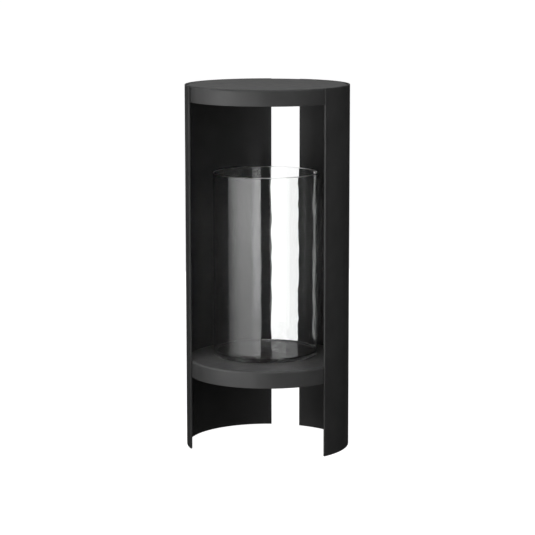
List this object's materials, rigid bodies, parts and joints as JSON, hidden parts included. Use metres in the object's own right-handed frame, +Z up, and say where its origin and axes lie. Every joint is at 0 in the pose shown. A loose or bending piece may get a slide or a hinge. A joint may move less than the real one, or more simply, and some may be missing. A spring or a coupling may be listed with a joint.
{
  "type": "candle lantern",
  "caption": "Round steel lantern: two curved panels joined by a flat cap and a shelf, open front and back slot, with a loose open glass cylinder for a candle.",
  "frame": {"origin": "the panels' common axis, on the surface that the lantern stands on", "axes": "+Z up, the wide front opening faces -Y and the narrow back slot faces +Y"},
  "size_m": [0.18, 0.1761, 0.4],
  "materials": {
    "panel_powder_coat": "satin black powder coat on 2 mm rolled sheet steel",
    "cap_powder_coat": "satin black powder coat on sheet steel",
    "shelf_powder_coat": "satin black powder coat on sheet steel",
    "weld_powder_coat": "coated weld bead, slightly rougher than the sheet",
    "clear_glass": "clear glass with a fire-polished rim"
  },
  "bodies": {
    "lantern_body": {"left_panel": "panel_powder_coat", "right_panel": "panel_powder_coat", "cap": "cap_powder_coat", "shelf": "shelf_powder_coat", "cap_weld_left_front": "weld_powder_coat", "cap_weld_left_rear": "weld_powder_coat", "cap_weld_right_front": "weld_powder_coat", "cap_weld_right_rear": "weld_powder_coat", "shelf_weld_left_front": "weld_powder_coat", "shelf_weld_left_rear": "weld_powder_coat", "shelf_weld_right_front": "weld_powder_coat", "shelf_weld_right_rear": "weld_powder_coat"},
    "glass": {"glass_cylinder": "clear_glass"}
  },
  "joints": [
    {"name": "glass_draw_out", "type": "slide", "parent": "lantern_body", "child": "glass", "axis": [0, -1, 0], "range_m": [0, 0.18]}
  ]
}
